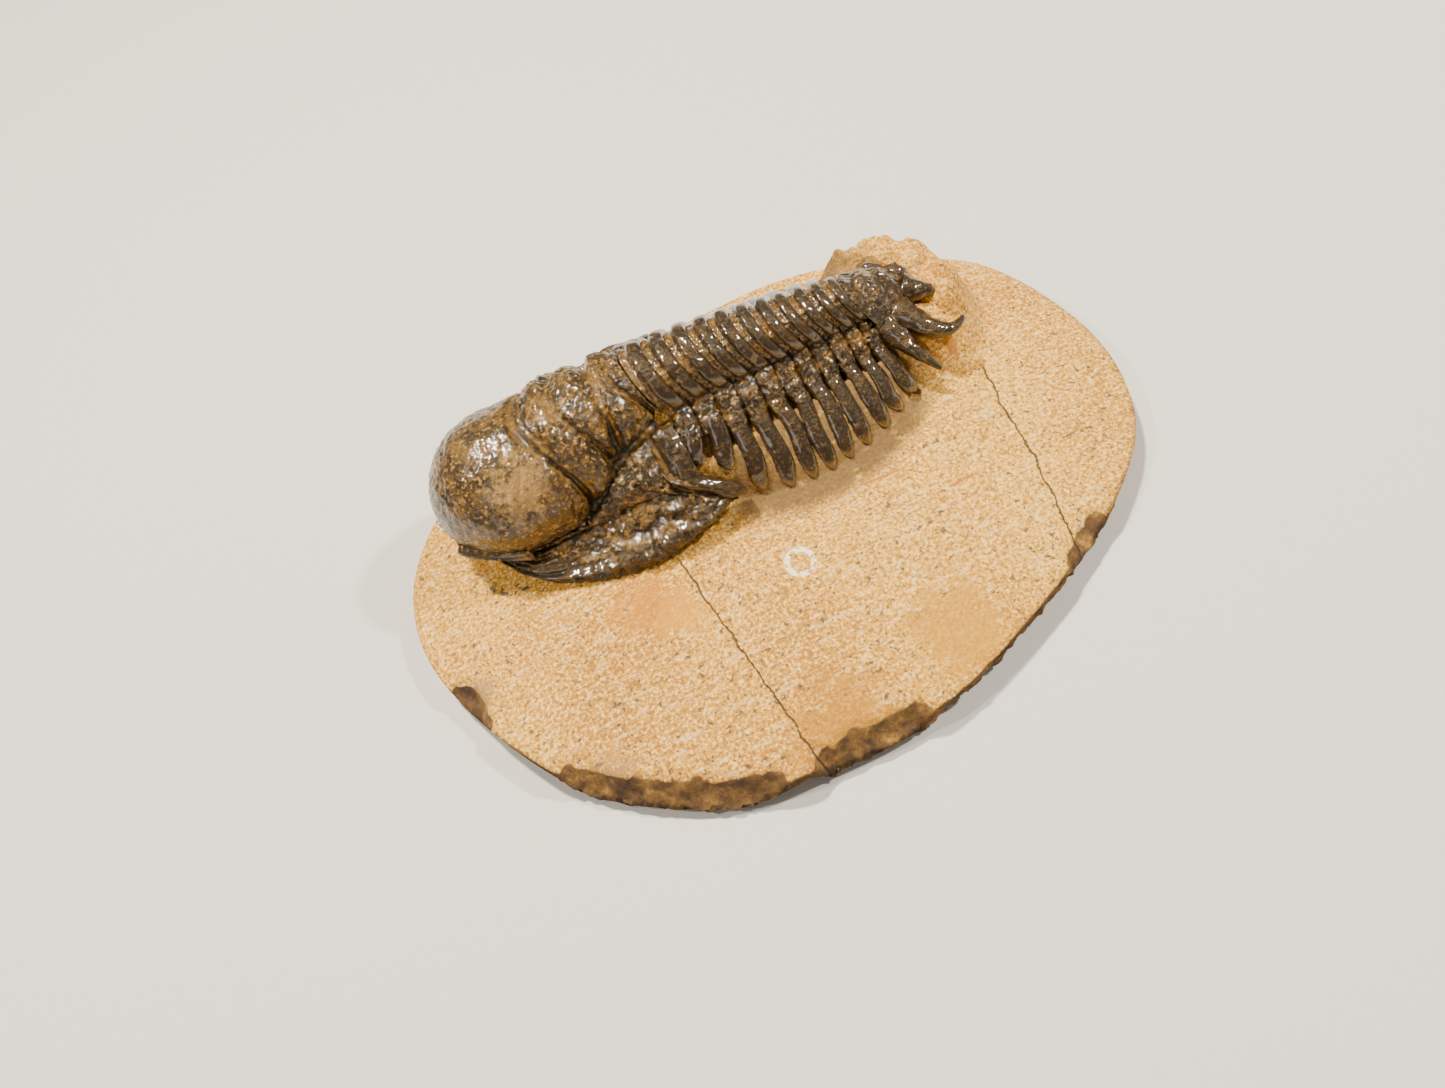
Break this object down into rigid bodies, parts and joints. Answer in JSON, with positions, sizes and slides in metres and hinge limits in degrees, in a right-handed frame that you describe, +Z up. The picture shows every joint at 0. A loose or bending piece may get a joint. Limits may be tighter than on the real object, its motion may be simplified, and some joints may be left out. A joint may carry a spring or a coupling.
{
  "type": "trilobite fossil",
  "caption": "Fossil trilobite with a bulbous head, ringed body and spined tail, prepared proud of a rounded slab of pale limestone that lies on its flat underside.",
  "frame": {"origin": "bottom centre of the limestone slab", "axes": "+Z up from the slab's flat underside; the animal lies along X, head at -X and tail at +X, its left side towards -Y"},
  "size_m": [0.103, 0.0743, 0.0271],
  "materials": {
    "limestone": "tool-scraped matte limestone, warm beige",
    "head_shell": "calcite shell, mottled olive brown, lacquered",
    "body_shell": "calcite shell, dark brown, lacquered"
  },
  "bodies": {
    "root": {"limestone_matrix": "limestone", "cranidium": "head_shell", "free_cheek_left": "head_shell", "free_cheek_right": "head_shell", "rostral_plate": "head_shell", "thoracic_segment_01": "body_shell", "thoracic_segment_02": "body_shell", "thoracic_segment_03": "body_shell", "thoracic_segment_04": "body_shell", "thoracic_segment_05": "body_shell", "thoracic_segment_06": "body_shell", "thoracic_segment_07": "body_shell", "thoracic_segment_08": "body_shell", "thoracic_segment_09": "body_shell", "thoracic_segment_10": "body_shell", "thoracic_segment_11": "body_shell", "pygidium": "body_shell"}
  },
  "joints": []
}
